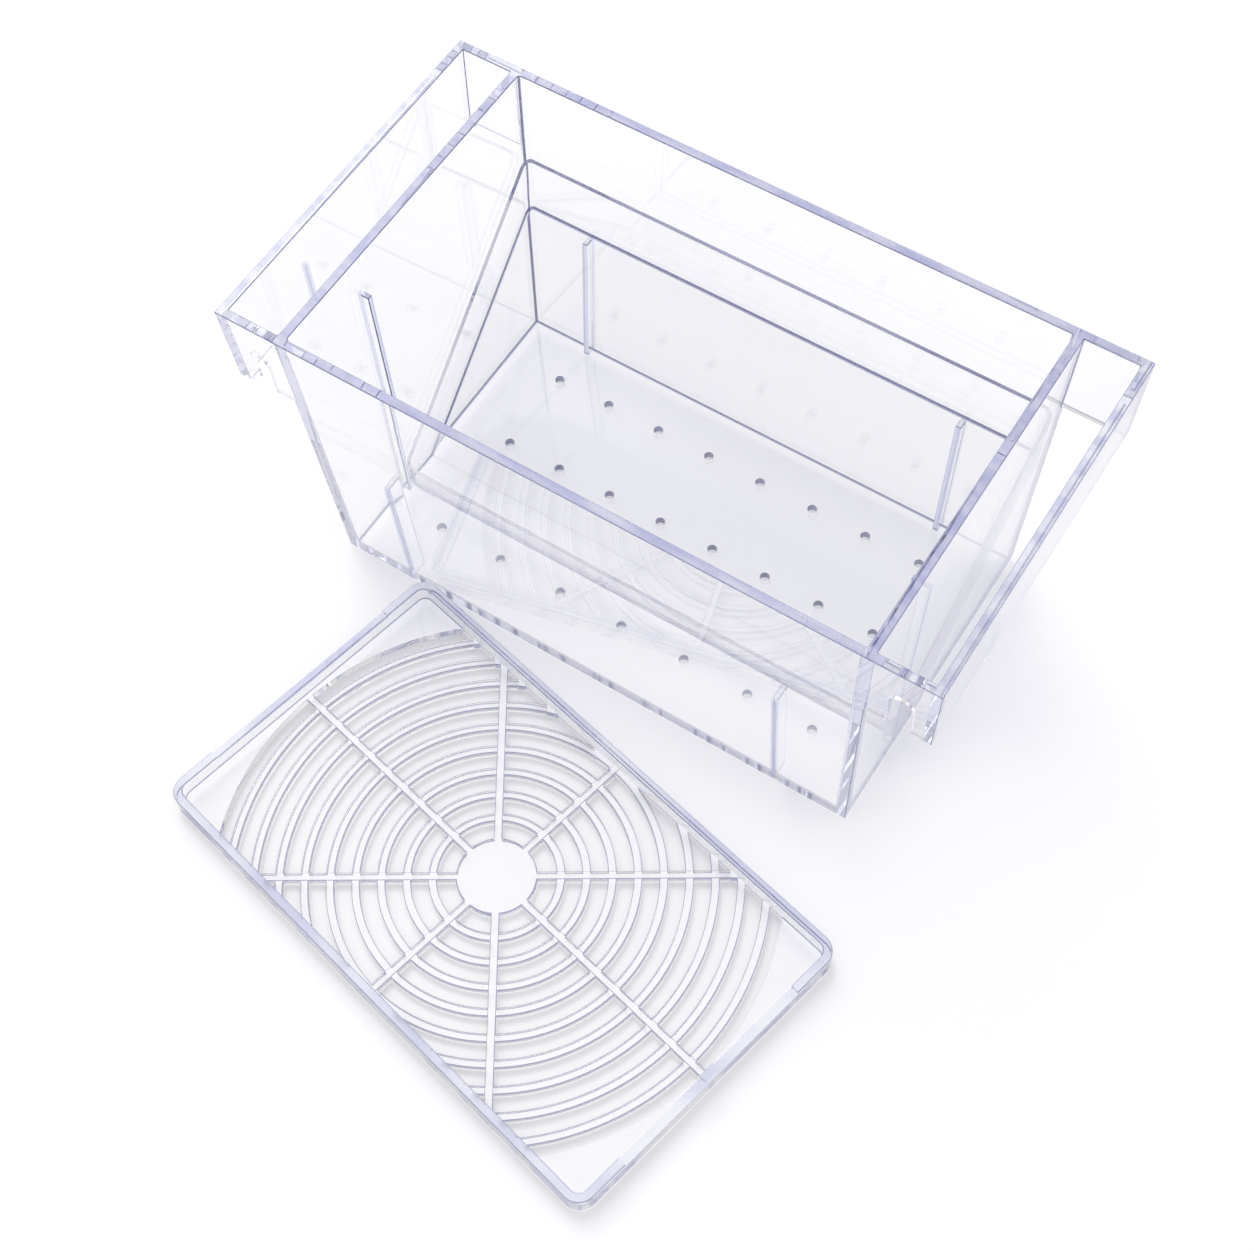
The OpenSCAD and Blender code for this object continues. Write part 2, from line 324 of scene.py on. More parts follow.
# Upright thickness of the sloping plate, and height of the upstands' top at the front
RISE = PLATE_T / math.cos(math.atan(SLOPE))
FRONT_TOP = INSERT_TOP - SLOPE * (INSERT_BACK - INSERT_FRONT)
# How much thinner the front and back upstands are at the top, so that they leave the mould
DRAFT = 0.45 * MM
# Radii of the upright corners outside and inside, of the corner between an upstand and the slope, and
# of the other edges
CORNER_R = 2.6 * MM
CORNER_INNER_R = 1.8 * MM
SEAM_R = 0.8 * MM
INSERT_EDGE_R = 0.25 * MM
# Two places nearer than this are the same place
TOUCH = 0.001 * MM
# A corner edge moves less than this in X, and climbs this many times as far as it moves in Y
CORNER_SHIFT = 6 * MM
CORNER_CLIMB = 8
# Least change of tilt, in cosines, between an upstand's face and the face that it stands on
SEAM_TILT = 0.4


def up_the_back(y_at_top, z_at_top, z):
    """Where a line that leans as the back wall does is at height z."""
    return y_at_top - LEAN_Y * (z_at_top - z)


def meet_back(y_at_top, z_at_top, y_on_slope, z_on_slope):
    """Where the line up the back meets a line that climbs as the slope does."""
    z = (z_on_slope + SLOPE * (y_at_top - LEAN_Y * z_at_top - y_on_slope)) / (1 - SLOPE * LEAN_Y)
    return up_the_back(y_at_top, z_at_top, z), z


def insert_outside():
    """Outline of the insert in Y and Z."""
    return [
        (INSERT_FRONT, FOOT_Z),
        (FOOT_END, FOOT_Z),
        meet_back(INSERT_BACK, INSERT_TOP, FOOT_END, FOOT_Z),
        (INSERT_BACK, INSERT_TOP),
        (INSERT_FRONT, FRONT_TOP),
    ]


def insert_inside():
    """Outline in Y and Z of the space between the upstands, open at the top."""
    front = INSERT_FRONT + SIDE_T
    back = INSERT_BACK - SIDE_T
    floor = FOOT_Z + SIDE_T
    above = INSERT_TOP + PAST
    return [
        (front, floor),
        (FOOT_END + (floor - FOOT_Z - RISE) / SLOPE, floor),
        meet_back(back, INSERT_TOP, FOOT_END, FOOT_Z + RISE),
        (up_the_back(back, INSERT_TOP, above) + DRAFT, above),
        (front - DRAFT, FRONT_TOP + PAST),
    ]


def run(outline, rim_x):
    """A closed body with this outline in Y and Z, between two end faces that lean as the end walls do."""
    bm = bmesh.new()
    face = bm.faces.new([bm.verts.new((0, y, z)) for y, z in outline])
    swept = bmesh.ops.extrude_face_region(bm, geom=[face])
    far = [v for v in swept["geom"] if isinstance(v, bmesh.types.BMVert)]
    near = [v for v in bm.verts if v not in far]
    for verts, side in ((far, 1), (near, -1)):
        for v in verts:
            v.co.x = at_x(side * rim_x, v.co.z)
    return bm


def upright_corners(bm):
    """The four corner edges of the insert: front left and right, back left and right."""
    corners = []
    for e in bm.edges:
        a, b = (v.co for v in e.verts)
        same_side = abs(a.x - b.x) < CORNER_SHIFT
        climbs = abs(a.z - b.z) > CORNER_CLIMB * abs(a.y - b.y)
        if same_side and climbs:
            corners.append(e)
    return corners


def at_seam(edge):
    """True where an upstand meets the foot or the slope."""
    for v in edge.verts:
        surface = max(FOOT_Z + SIDE_T, FOOT_Z + RISE + SLOPE * (v.co.y - FOOT_END))
        if abs(surface - v.co.z) > TOUCH:
            return False
    tilt = [abs(f.normal.z) for f in edge.link_faces]
    return max(tilt) - min(tilt) > SEAM_TILT


def slope_insert():
    shell = run(insert_outside(), INSERT_X)
    round_off(shell, upright_corners(shell), CORNER_R, 6)
    body = piece("insert_moulding", shell)
    space = run(insert_inside(), INSERT_X - SIDE_T)
    round_off(space, upright_corners(space), CORNER_INNER_R, 5)
    space.normal_update()
    round_off(space, [e for e in space.edges if at_seam(e)], SEAM_R, 3)
    combine(body, piece("space", space), "DIFFERENCE")
    soften(body, INSERT_EDGE_R, 3)
    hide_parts(*frame["record"]["behaviour"]["bodies"]["insert"])
    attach(body, "insert")
    return body


# The grille plate, drawn flat about its own middle and then laid on the table

GRILLE_L = 154.5 * MM
GRILLE_W = 91 * MM
GRILLE_CORNER_R = 5 * MM
RAIL_T = 2.4 * MM
RAIL_H = high("front_rail").z
# Radius of the rails' edges, and of the bars' edges
RAIL_EDGE_R = 0.35 * MM
BAR_EDGE_R = 0.35 * MM
# The short rails are lower over their middle stretch
DIP = 1.2 * MM
DIP_L = 60 * MM
# The catch stands on the right rail, a little in from its outer face
CATCH_W = 4.4 * MM
CATCH_SETBACK = 0.1 * MM
BAR_H = high("centre_disc").z
DISC_R = (high("centre_disc").x - low("centre_disc").x) / 2
DISC_EDGE_R = 0.5 * MM
SPOKE_COUNT = 8
SPOKE_W = 2.2 * MM
# Width of the solid ends at the middle of the short rails, where they are narrowest, and radius of the
# opening that they leave
END_WEB = 1.2 * MM
WEB_R = GRILLE_L / 2 - RAIL_T - END_WEB
RING_COUNT = 9
RING_W = 2.2 * MM
# How much lower the rings are than the spokes
RING_DROP = 0.2 * MM
# Radius to the middle of the first ring, and the slot between the last ring and the solid ends
RING_FIRST = 16.5 * MM
LAST_SLOT = 3.3 * MM
RING_STEP = (WEB_R - LAST_SLOT - RING_W / 2 - RING_FIRST) / (RING_COUNT - 1)


def rounded_slab(length, width, z0, z1, radius):
    """A flat block with round upright corners."""
    bm = slab(-length / 2, length / 2, -width / 2, width / 2, z0, z1)
    corners = [e for e in bm.edges if e.verts[0].co.z != e.verts[1].co.z]
    round_off(bm, corners, radius, 10)
    return bm


def disc(radius, z0, z1, segments=96):
    bm = bmesh.new()
    add_rod(bm, radius, z1 - z0, segments, Matrix.Translation((0, 0, (z0 + z1) / 2)))
    return bm


def bar_outline(bm, centre, width, height):
    """The upright cross-section of a bar, rounded at its corners, in the XZ plane."""
    left = centre - width / 2
    right = centre + width / 2
    corners = [(left, 0), (right, 0), (right, height), (left, height)]
    face = bm.faces.new([bm.verts.new((x, 0, z)) for x, z in corners])
    round_off(bm, list(face.verts), BAR_EDGE_R, 4, affect="VERTICES")


def ring(index):
    bm = bmesh.new()
    bar_outline(bm, RING_FIRST + index * RING_STEP, RING_W, BAR_H - RING_DROP)
    bmesh.ops.delete(bm, geom=bm.faces[:], context="FACES_ONLY")
    bmesh.ops.spin(
        bm,
        geom=bm.verts[:] + bm.edges[:],
        cent=(0, 0, 0),
        axis=(0, 0, 1),
        angle=2 * math.pi,
        steps=160,
        use_merge=True,
    )
    return piece("ring", bm)


def spoke(index):
    bm = bmesh.new()
    bar_outline(bm, 0, SPOKE_W, BAR_H)
    swept = bmesh.ops.extrude_face_region(bm, geom=bm.faces[:])
    far = [v for v in swept["geom"] if isinstance(v, bmesh.types.BMVert)]
    bmesh.ops.translate(bm, vec=(0, WEB_R + BITE, 0), verts=far)
    turn = Matrix.Rotation(2 * math.pi * index / SPOKE_COUNT, 3, "Z")
    bmesh.ops.rotate(bm, cent=(0, 0, 0), matrix=turn, verts=bm.verts)
    return piece("spoke", bm)


def grille_frame():
    """Rails, solid ends and catch, with the opening that the bars fill."""
    body = piece("grille_moulding", rounded_slab(GRILLE_L, GRILLE_W, 0, RAIL_H, GRILLE_CORNER_R))
    inner_l = GRILLE_L - 2 * RAIL_T
    inner_w = GRILLE_W - 2 * RAIL_T
    tray = rounded_slab(inner_l, inner_w, BAR_H, RAIL_H + PAST, GRILLE_CORNER_R - RAIL_T)
    combine(body, piece("tray", tray), "DIFFERENCE")
    soften(body, RAIL_EDGE_R, 3, clamp=False)
    window = piece("window", disc(WEB_R, -PAST, BAR_H + PAST, 144))
    band = slab(-GRILLE_L, GRILLE_L, -inner_w / 2, inner_w / 2, -PAST, BAR_H + PAST)
    combine(window, piece("band", band), "INTERSECT")
    combine(body, window, "DIFFERENCE")
    end = GRILLE_L / 2
    for x in (-end, end):
        dip = slab(x - 2 * RAIL_T, x + 2 * RAIL_T, -DIP_L / 2, DIP_L / 2, RAIL_H - DIP, RAIL_H + PAST)
        combine(body, piece("dip", dip), "DIFFERENCE")
    catch = slab(
        end - RAIL_T,
        end - CATCH_SETBACK,
        -CATCH_W / 2,
        CATCH_W / 2,
        RAIL_H - DIP - BITE,
        high("rail_catch").z,
    )
    return combine(body, piece("catch", catch), "UNION")


def grille_bars():
    """Disc, rings and spokes, cut to the opening with a little to spare."""
    bars = piece("bars", disc(DISC_R, 0, BAR_H))
    soften(bars, DISC_EDGE_R, 3)
    for index in range(RING_COUNT):
        combine(bars, ring(index), "UNION")
    for index in range(SPOKE_COUNT):
        combine(bars, spoke(index), "UNION")
    reach_x = WEB_R + BITE
    reach_y = GRILLE_W / 2 - RAIL_T + BITE
    clip = slab(-reach_x, reach_x, -reach_y, reach_y, -PAST, BAR_H + PAST)
    return combine(bars, piece("clip", clip), "INTERSECT")


def grille_moulding():
    body = combine(grille_frame(), grille_bars(), "UNION")
    centre = middle("centre_disc")
    catch = middle("rail_catch")
    turn = math.atan2(catch.y - centre.y, catch.x - centre.x)
    body.data.transform(Matrix.Translation((centre.x, centre.y, 0)) @ Matrix.Rotation(turn, 4, "Z"))
    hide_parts(*frame["record"]["behaviour"]["bodies"]["grille_plate"])
    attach(body, "grille_plate")
    return body


# Materials

# Sockets of a Mix node that mixes two colours
FACTOR = 0
FIRST = 6
SECOND = 7
MIXED = 2

# What white light turns to on its long way through the plastic
LONG_WAY = "#C6C6E2"
# Painted colours: the painted shade of the thin lines along edges, the painted lavender and shade of rib
# noses, and the painted shade on the walls of the drain holes
EDGE_PAINTED_SHADE = "#727296"
RIB_NOSE_TINT_AND_SHADE = "#C8CCE4"
HOLE_PAINTED_SHADE = "#62627C"
# Flow of the melt leaves swells this long and at most this deep
SWELL = 20 * MM
SWELL_DEPTH = 0.05 * MM
# Handling leaves patches of this size that are a little less glossy, up to this roughness
PATCH = 11.1 * MM
PATCH_ROUGHNESS = 0.04
# Angle between the streaks in the painted rim shade and the long walls
STREAK_ANGLE = math.radians(28)
# Bounces after which light that is caught between two faces is let out
CAUGHT_AFTER = 40


def srgb(code):
    """Linear colour from an sRGB hex code."""
    parts = [int(code[i : i + 2], 16) / 255 for i in (1, 3, 5)]
    linear = [c / 12.92 if c <= 0.04045 else ((c + 0.055) / 1.055) ** 2.4 for c in parts]
    return (*linear, 1)


def add(tree, kind, settings=None, links=None):
    """Adds a node, sets its properties and inputs, and links its inputs to other nodes' sockets."""
    node = tree.nodes.new(kind)
    for name, value in (settings or {}).items():
        if isinstance(name, str) and hasattr(node, name):
            setattr(node, name, value)
        else:
            node.inputs[name].default_value = value
    for name, socket in (links or {}).items():
        tree.links.new(socket, node.inputs[name])
    return node


def surface_facts(tree):
    """Sockets that say where a point of the surface is and which way it faces.

    Across is how far out it is in X. Along_x, along_y and level are 1 where the face looks along X, Y or
    Z, so level is 1 on floors, 0 on walls and between them on rounded edges. Upright is 1 on all walls.
    """
    coords = add(tree, "ShaderNodeTexCoord").outputs
    spot = add(tree, "ShaderNodeSeparateXYZ", {}, {0: coords["Object"]}).outputs
    normal = add(tree, "ShaderNodeSeparateXYZ", {}, {0: coords["Normal"]}).outputs
    signed = {"across": spot["X"], "along_x": normal["X"], "along_y": normal["Y"], "level": normal["Z"]}
    facts = {"place": coords["Object"], "y": spot["Y"], "z": spot["Z"]}
    for name, socket in signed.items():
        facts[name] = add(tree, "ShaderNodeMath", {"operation": "ABSOLUTE"}, {0: socket}).outputs[0]
    sides = {0: facts["along_x"], 1: facts["along_y"]}
    facts["upright"] = add(tree, "ShaderNodeMath", {"operation": "MAXIMUM"}, sides).outputs[0]
    return facts


def swells(tree, facts, waviness):
    noise = add(tree, "ShaderNodeTexNoise", {"Scale": 1 / SWELL, "Detail": 2}, {"Vector": facts["place"]})
    settings = {"Strength": waviness, "Distance": SWELL_DEPTH}
    return add(tree, "ShaderNodeBump", settings, {"Height": noise.outputs["Fac"]}).outputs["Normal"]


def rubbed_gloss(tree, facts):
    noise = add(tree, "ShaderNodeTexNoise", {"Scale": 1 / PATCH, "Detail": 3}, {"Vector": facts["place"]})
    span = {"From Min": 0.45, "From Max": 0.75, "To Max": PATCH_ROUGHNESS}
    return add(tree, "ShaderNodeMapRange", span, {"Value": noise.outputs["Fac"]}).outputs["Result"]


def level_faces(tree, facts, back_painted_shade):
    """White, which turns to painted shade on level faces towards the back, where less light comes up."""
    span = {"From Min": -CHAMBER_Y, "From Max": CHAMBER_Y}
    back = add(tree, "ShaderNodeMapRange", span, {"Value": facts["y"]})
    far_back = add(
        tree,
        "ShaderNodeMath",
        {"operation": "MULTIPLY"},
        {0: back.outputs["Result"], 1: facts["level"]},
    )
    ground = add(
        tree,
        "ShaderNodeMix",
        {"data_type": "RGBA", FIRST: srgb("#FFFFFF"), SECOND: srgb(back_painted_shade)},
        {FACTOR: far_back.outputs[0]},
    )
    return ground.outputs[MIXED]


def painted_rim_mask(tree, facts, rim, streak):
    """1 on a rim, painted with the plastic's lavender of the long way down through the wall and with
    painted shade, less between slanted streaks.

    The rim is how steeply it climbs towards the back, its height at Y 0, and the depth that is painted.
    Streak is the size of the streaks along X, Y and Z, before they are turned.
    """
    slope, height, depth = rim
    climb = add(tree, "ShaderNodeMath", {"operation": "MULTIPLY", 1: slope}, {0: facts["y"]})
    over = add(tree, "ShaderNodeMath", {"operation": "SUBTRACT"}, {0: facts["z"], 1: climb.outputs[0]})
    start = height - depth
    span = {"From Min": start, "From Max": start + 0.1 * MM}
    on_rim = add(tree, "ShaderNodeMapRange", span, {"Value": over.outputs[0]})
    facing_up = add(
        tree,
        "ShaderNodeMath",
        {"operation": "MULTIPLY"},
        {0: facts["level"], 1: on_rim.outputs["Result"]},
    )
    aslant = add(
        tree,
        "ShaderNodeMapping",
        {"Rotation": (0, 0, STREAK_ANGLE), "Scale": [1 / size for size in streak]},
        {"Vector": facts["place"]},
    )
    noise = add(tree, "ShaderNodeTexNoise", {"Scale": 1, "Detail": 3}, {"Vector": aslant.outputs[0]})
    depth_of_tint = {"From Min": 0.38, "From Max": 0.6, "To Min": 0.25, "To Max": 1.0}
    streaks = add(tree, "ShaderNodeMapRange", depth_of_tint, {"Value": noise.outputs["Fac"]})
    streaked = add(
        tree,
        "ShaderNodeMath",
        {"operation": "MULTIPLY"},
        {0: facing_up.outputs[0], 1: streaks.outputs["Result"]},
    )
    return streaked.outputs[0]


def where_all(tree, facts, tests):
    """1 where every test holds. A test is a fact's name, a comparison and the values it compares with."""
    here = None
    for name, comparison, *values in tests:
        settings = {"operation": comparison, **dict(enumerate(values, start=1))}
        holds = add(tree, "ShaderNodeMath", settings, {0: facts[name]}).outputs[0]
        if here is not None:
            holds = add(tree, "ShaderNodeMath", {"operation": "MULTIPLY"}, {0: here, 1: holds}).outputs[0]
        here = holds
    return here


def painted_edge_lines(tree, facts, lines_up_to):
    """1 on rounded edges, painted as thin lines of shade beside the faces for the dark of the room that
    they bend in.

    With a limit, only edges of level faces count, up to where they lie as level as the limit.
    """
    if lines_up_to is None:
        ways = {0: facts["upright"], 1: facts["level"]}
        flatness = add(tree, "ShaderNodeMath", {"operation": "MAXIMUM"}, ways).outputs[0]
        span = {"From Min": 0.97, "From Max": 0.9}
        return add(tree, "ShaderNodeMapRange", span, {"Value": flatness}).outputs["Result"]
    spans = ({"From Min": 0.15, "From Max": 0.3}, {"From Min": lines_up_to, "From Max": lines_up_to - 0.09})
    off_wall, off_floor = (
        add(tree, "ShaderNodeMapRange", span, {"Value": facts["level"]}).outputs["Result"] for span in spans
    )
    return add(tree, "ShaderNodeMath", {"operation": "MULTIPLY"}, {0: off_wall, 1: off_floor}).outputs[0]


def painted_grazing_shade(tree, skim_from):
    """1 where a face is seen at a grazing angle, which gets the same painted lavender shade as the edges.
    """
    skim = add(tree, "ShaderNodeLayerWeight", {"Blend": 0.5}).outputs["Facing"]
    span = {"From Min": skim_from, "From Max": 0.97}
    return add(tree, "ShaderNodeMapRange", span, {"Value": skim}).outputs["Result"]


def unbent_light(tree, facts, shade):
    """Light that crosses the plastic straight, less what an upright face turns away, which is what throws
    the soft shadow. The shade is a height and colour for low down, then for high up.

    The path is followed from the table to the lamp, so light comes out of the faces met from outside.
    """
    (low_z, low_shade), (high_z, high_shade) = shade
    from_inside = add(tree, "ShaderNodeNewGeometry").outputs["Backfacing"]
    ways = {0: facts["level"], 1: from_inside}
    passed = add(tree, "ShaderNodeMath", {"operation": "MAXIMUM"}, ways)
    up = add(tree, "ShaderNodeMapRange", {"From Min": low_z, "From Max": high_z}, {"Value": facts["z"]})
    held = add(
        tree,
        "ShaderNodeMix",
        {"data_type": "RGBA", FIRST: srgb(low_shade), SECOND: srgb(high_shade)},
        {FACTOR: up.outputs["Result"]},
    )
    kept = add(
        tree,
        "ShaderNodeMix",
        {"data_type": "RGBA", SECOND: srgb("#FFFFFF")},
        {FACTOR: passed.outputs[0], FIRST: held.outputs[MIXED]},
    )
    return add(tree, "ShaderNodeBsdfTransparent", {}, {"Color": kept.outputs[MIXED]}).outputs[0]


def goes_straight(tree):
    """1 for light on its way to the table or the lamps, which crosses thin walls straight, and for light
    caught between two faces, which scatters out of a real wall in the end."""
    path = add(tree, "ShaderNodeLightPath").outputs
    ways = {0: path["Is Shadow Ray"], 1: path["Is Diffuse Ray"]}
    outward = add(tree, "ShaderNodeMath", {"operation": "MAXIMUM"}, ways).outputs[0]
    test = {"operation": "GREATER_THAN", 1: CAUGHT_AFTER}
    caught = add(tree, "ShaderNodeMath", test, {0: path["Ray Depth"]}).outputs[0]
    return add(tree, "ShaderNodeMath", {"operation": "MAXIMUM"}, {0: outward, 1: caught}).outputs[0]


def clear_polystyrene(
    name,
    density,
    waviness,
    rim,
    rim_painted_shade,
    streak,
    skim_from,
    shade,
    lines_up_to=None,
    patches=(),
    back_painted_shade="#FFFFFF",
):
    """Injection-moulded clear polystyrene: polished, very slightly wavy, tinted by its volume only where
    the light's way through it is long, so that faces are clear and edges look lavender. Its colour carries
    painted lavender and shade on rims and rib noses, and painted shade on hole walls, edges, grazing faces
    and level faces towards the back. Patches are pairs of a painted colour and the tests for where it goes."""
    material = bpy.data.materials.new(name)
    material.use_nodes = True
    tree = material.node_tree
    tree.nodes.clear()
    facts = surface_facts(tree)
    # Painted shade along rounded edges and on faces seen at a grazing angle
    ways = {0: painted_edge_lines(tree, facts, lines_up_to), 1: painted_grazing_shade(tree, skim_from)}
    lines = add(tree, "ShaderNodeMath", {"operation": "MAXIMUM"}, ways).outputs[0]
    # Painted marks over the white: rim shade, rib noses and hole walls, then the painted edge shade
    tints = [(rim_painted_shade, painted_rim_mask(tree, facts, rim, streak))]
    tints += [(tint, where_all(tree, facts, tests)) for tint, tests in patches]
    tints.append((EDGE_PAINTED_SHADE, lines))
    colour = level_faces(tree, facts, back_painted_shade)
    for tint, where in tints:
        settings = {"data_type": "RGBA", SECOND: srgb(tint)}
        colour = add(tree, "ShaderNodeMix", settings, {FACTOR: where, FIRST: colour}).outputs[MIXED]
    plastic = add(
        tree,
        "ShaderNodeBsdfPrincipled",
        {"IOR": 1.58, "Transmission Weight": 1},
        {
            "Base Color": colour,
            "Roughness": rubbed_gloss(tree, facts),
            "Normal": swells(tree, facts, waviness),
        },
    )
    surface = add(
        tree,
        "ShaderNodeMixShader",
        {},
        {0: goes_straight(tree), 1: plastic.outputs[0], 2: unbent_light(tree, facts, shade)},
    )
    inside = add(tree, "ShaderNodeVolumeAbsorption", {"Color": srgb(LONG_WAY), "Density": density})
    add(tree, "ShaderNodeOutputMaterial", {}, {"Surface": surface.outputs[0], "Volume": inside.outputs[0]})
    return material


def dress(obj, material):
    """Gives a piece its material and smooth normals on its rounded edges."""
    obj.data.materials.clear()
    obj.data.materials.append(material)
    for polygon in obj.data.polygons:
        polygon.use_smooth = True
    obj.data.set_sharp_from_angle(angle=math.radians(50))
    # Flat faces keep flat normals beside their rounded edges, or they would bend light like lenses
    step = obj.modifiers.new("flat_faces", "WEIGHTED_NORMAL")
    step.mode = "FACE_AREA"
    step.weight = 50
    step.keep_sharp = True
    settle(obj)


# A rib's nose is looked into along the rib's depth, so its whole width is painted with the plastic's
# lavender of that long way and with painted shade
NOSE_HALF = 0.8 * MM
WALL_RIB_NOSES = (
    ("across", "COMPARE", middle("front_right_rib").x, NOSE_HALF),
    ("z", "LESS_THAN", high("front_right_rib").z),
    ("along_y", "GREATER_THAN", 0.5),
)
END_RIB_NOSES = (
    ("y", "COMPARE", middle("right_stop_rib").y, NOSE_HALF),
    ("across", "GREATER_THAN", low("right_stop_rib").x),
    ("z", "LESS_THAN", high("right_stop_rib").z),
    ("upright", "GREATER_THAN", 0.5),
)
# The walls of the drain holes get painted shade, so that they look dark. Nothing else is upright in the
# thickness of the floor, this far in from its edge.
HOLES_INSET = 3 * MM
HOLE_WALLS = (
    ("across", "LESS_THAN", high("floor_panel").x - HOLES_INSET),
    ("y", "COMPARE", 0, high("floor_panel").y - HOLES_INSET),
    ("z", "LESS_THAN", WALL),
    ("level", "LESS_THAN", 0.5),
)

dress(
    box_moulding(),
    clear_polystyrene(
        "clear_polystyrene_box",
        density=7,
        waviness=0.4,
        rim=(0, RIM, 0.5 * MM),
        # Rim tops painted with lavender and shade for the view down the long way through the walls
        rim_painted_shade="#B8BCE0",
        streak=(16.7 * MM, 3.85 * MM, 16.7 * MM),
        skim_from=0.84,
        shade=((0, "#DADADE"), (32 * MM, "#F7F7F9")),
        # Rib noses get painted lavender and shade, the walls of the drain holes get painted shade
        patches=((RIB_NOSE_TINT_AND_SHADE, WALL_RIB_NOSES), (RIB_NOSE_TINT_AND_SHADE, END_RIB_NOSES), (HOLE_PAINTED_SHADE, HOLE_WALLS)),
    ),
)
dress(
    slope_insert(),
    clear_polystyrene(
        "clear_polystyrene_insert",
        density=12,
        waviness=0.15,
        rim=(SLOPE, INSERT_TOP - SLOPE * INSERT_BACK, 0.4 * MM),
        # The upstands' tops painted with darker lavender shade
        rim_painted_shade="#80809C",
        streak=(50 * MM, 50 * MM, 50 * MM),
        skim_from=0.84,
        shade=((0, "#E6E6EA"), (RIM, "#E6E6EA")),
        lines_up_to=0.74,
        # Painted shade on level faces towards the back
        back_painted_shade="#F3F3F5",
    ),
)
dress(
    grille_moulding(),
    clear_polystyrene(
        "clear_polystyrene_grille",
        density=12,
        waviness=0.15,
        rim=(0, RAIL_H, 1.6 * MM),
        # Rail tops painted with lavender and shade
        rim_painted_shade="#BABFDE",
        streak=(40 * MM, 25 * MM, 40 * MM),
        skim_from=0.78,
        shade=((BAR_H, "#BCBCC0"), (BAR_H + 2 * MM, "#E6E6EA")),
        lines_up_to=0.97,
    ),
)


# Stage

# Directions from the table to the lamp, and to the middle of the window that stands for it in reflections
KEY = Vector((-0.75, 0.66, 1.19))
WINDOW = Vector((-0.69, 0.46, 0.57))
# The window is full up to the first angle from its middle and fades out by the second
WINDOW_FULL = math.radians(6)
WINDOW_END = math.radians(30)
# Half the table's length, and how far it lies below the object, so that no two faces share a place
TABLE_HALF = 3
TABLE_DROP = 0.02 * MM


def table_top():
    """White paper table top that keeps the object's soft shadow and otherwise stays white to the camera."""
    material = bpy.data.materials.new("white_paper")
    material.use_nodes = True
    tree = material.node_tree
    tree.nodes.clear()
    paper = add(tree, "ShaderNodeBsdfDiffuse", {"Color": srgb("#F2F2F4")})
    glow = add(tree, "ShaderNodeEmission", {"Color": srgb("#FFFFFF"), "Strength": 0.05})
    dark = add(tree, "ShaderNodeEmission", {"Strength": 0})
    path = add(tree, "ShaderNodeLightPath").outputs
    seen = path["Is Camera Ray"]
    for way in ("Is Transmission Ray", "Is Glossy Ray"):
        seen = add(tree, "ShaderNodeMath", {"operation": "MAXIMUM"}, {0: seen, 1: path[way]}).outputs[0]
    lit = add(tree, "ShaderNodeMixShader", {}, {0: seen, 1: dark.outputs[0], 2: glow.outputs[0]})
    both = add(tree, "ShaderNodeAddShader", {}, {0: paper.outputs[0], 1: lit.outputs[0]})
    add(tree, "ShaderNodeOutputMaterial", {}, {"Surface": both.outputs[0]})
    bm = bmesh.new()
    bmesh.ops.create_grid(bm, x_segments=1, y_segments=1, size=TABLE_HALF)
    bmesh.ops.translate(bm, vec=(0, 0, -TABLE_DROP), verts=bm.verts)
    table = piece("table_top", bm)
    table.data.materials.append(material)


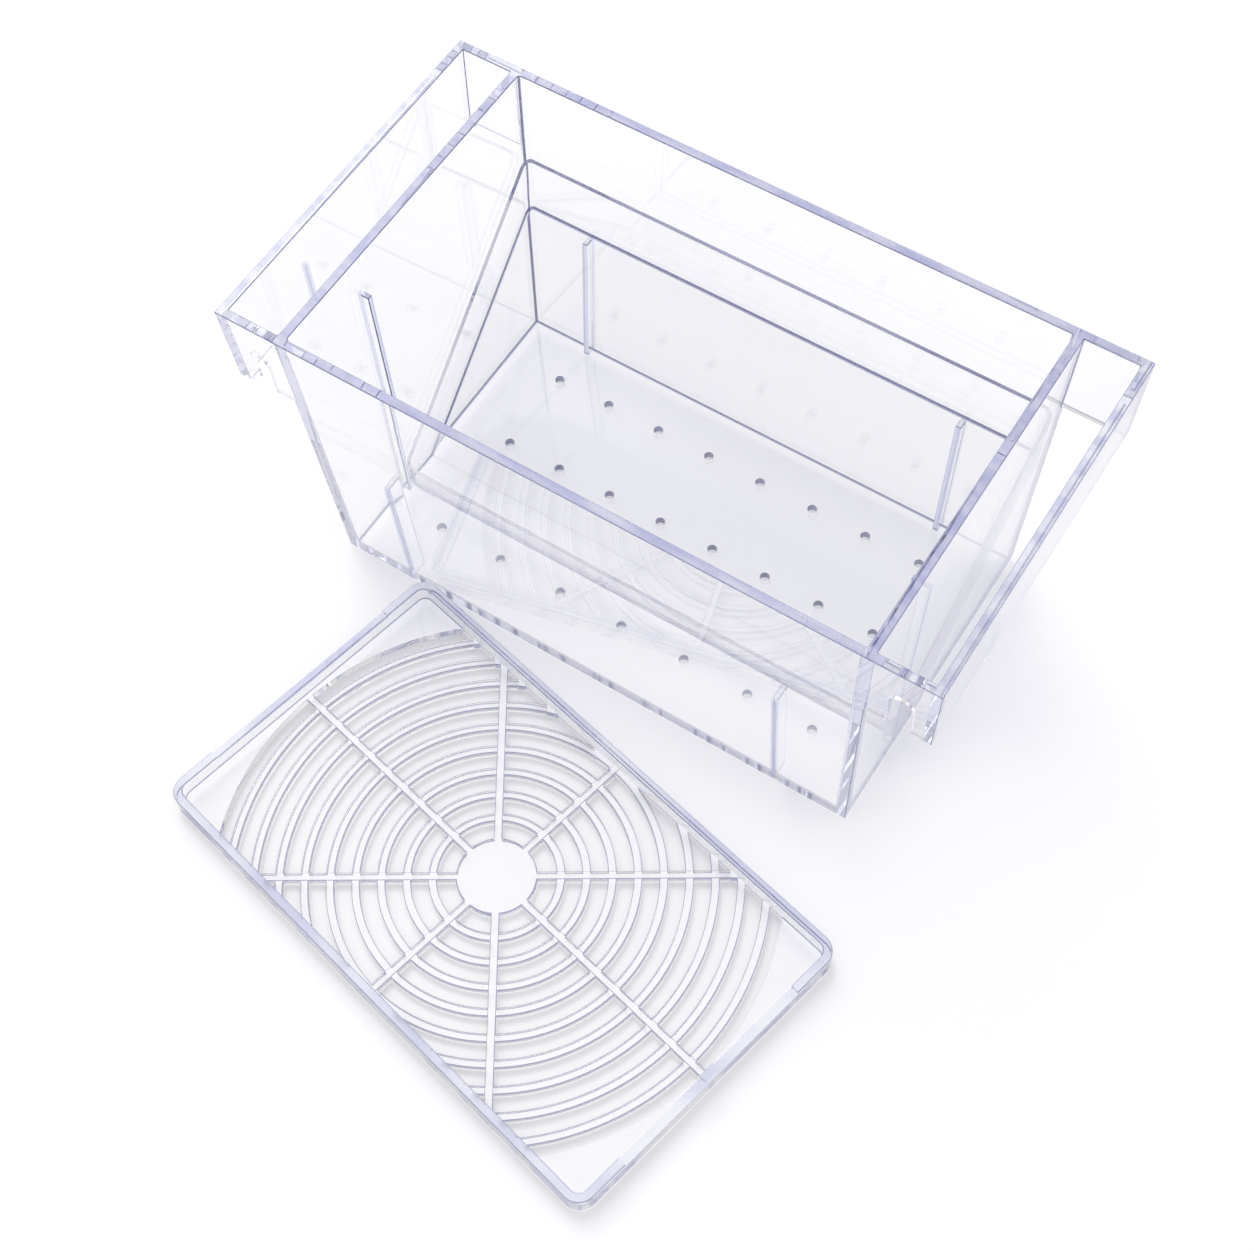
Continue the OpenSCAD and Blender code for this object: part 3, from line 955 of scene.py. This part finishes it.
def dome():
    """Studio dome with one broad soft window, darker low down, so that edges of the clear walls show."""
    world = bpy.data.worlds.new("studio_dome")
    bpy.context.scene.world = world
    world.use_nodes = True
    tree = world.node_tree
    tree.nodes.clear()
    place = add(tree, "ShaderNodeTexCoord").outputs["Generated"]
    height = add(tree, "ShaderNodeSeparateXYZ", {}, {0: place}).outputs["Z"]
    shade = add(tree, "ShaderNodeValToRGB", {}, {"Fac": height})
    stops = shade.color_ramp.elements
    stops[0].color = srgb("#84849A")
    stops[1].position = 0.6
    stops[1].color = srgb("#FCFCFC")
    stops.new(0.25).color = srgb("#CDCDD3")
    plain = add(tree, "ShaderNodeBackground", {"Strength": 0.75}, {"Color": shade.outputs["Color"]})
    aim = {"operation": "DOT_PRODUCT", 1: WINDOW.normalized()}
    towards = add(tree, "ShaderNodeVectorMath", aim, {0: place})
    fade = {
        "interpolation_type": "SMOOTHSTEP",
        "From Min": math.cos(WINDOW_END),
        "From Max": math.cos(WINDOW_FULL),
        "To Max": 2.0,
    }
    glow = add(tree, "ShaderNodeMapRange", fade, {"Value": towards.outputs["Value"]})
    white = {"Color": srgb("#FFFFFF")}
    window = add(tree, "ShaderNodeBackground", white, {"Strength": glow.outputs["Result"]})
    light = add(tree, "ShaderNodeAddShader", {}, {0: plain.outputs[0], 1: window.outputs[0]})
    add(tree, "ShaderNodeOutputWorld", {}, {"Surface": light.outputs[0]})


def key_light():
    """Soft lamp behind and to the left, kept out of reflections, where the dome's window stands for it."""
    data = bpy.data.lights.new("key", "SUN")
    data.angle = math.radians(22)
    data.energy = 1.2
    lamp = bpy.data.objects.new("key", data)
    lamp.rotation_mode = "QUATERNION"
    lamp.rotation_quaternion = KEY.to_track_quat("Z", "Y")
    lamp.location = KEY
    lamp.visible_glossy = False
    lamp.visible_transmission = False
    bpy.context.scene.collection.objects.link(lamp)


def camera():
    """Camera at the photograph's viewpoint, found by fitting the box's own edges."""
    photo_px = 1254
    focal_px = 2106.4
    azimuth, elevation, roll = map(math.radians, (35.08, 60.68, -2.85))
    place = Vector((163.3, -259.8, 503.5)) * MM
    flat_back = Vector((math.sin(azimuth), -math.cos(azimuth), 0))
    back = flat_back * math.cos(elevation) + Vector((0, 0, math.sin(elevation)))
    right = (-back).cross(Vector((0, 0, 1))).normalized()
    up = right.cross(-back)
    side = math.cos(roll) * right + math.sin(roll) * up
    top = math.cos(roll) * up - math.sin(roll) * right
    data = bpy.data.cameras.new("photo_view")
    data.sensor_width = 36
    data.lens = data.sensor_width * focal_px / photo_px
    data.clip_start = 0.01
    data.clip_end = 20
    view = bpy.data.objects.new("photo_view", data)
    view.matrix_world = Matrix.Translation(place) @ Matrix((side, top, back)).transposed().to_4x4()
    bpy.context.scene.collection.objects.link(view)
    bpy.context.scene.camera = view


table_top()
dome()
key_light()
camera()

scene = bpy.context.scene
scene.view_settings.view_transform = "Standard"
# Light crosses many faces of clear plastic before it leaves, so its paths may be long
scene.cycles.max_bounces = 64
scene.cycles.transmission_bounces = 64
scene.cycles.glossy_bounces = 64
scene.cycles.transparent_max_bounces = 64
# Lamp rays cross the plastic straight, so the light that it would bend onto the table isn't added twice
scene.cycles.caustics_reflective = False
scene.cycles.caustics_refractive = False
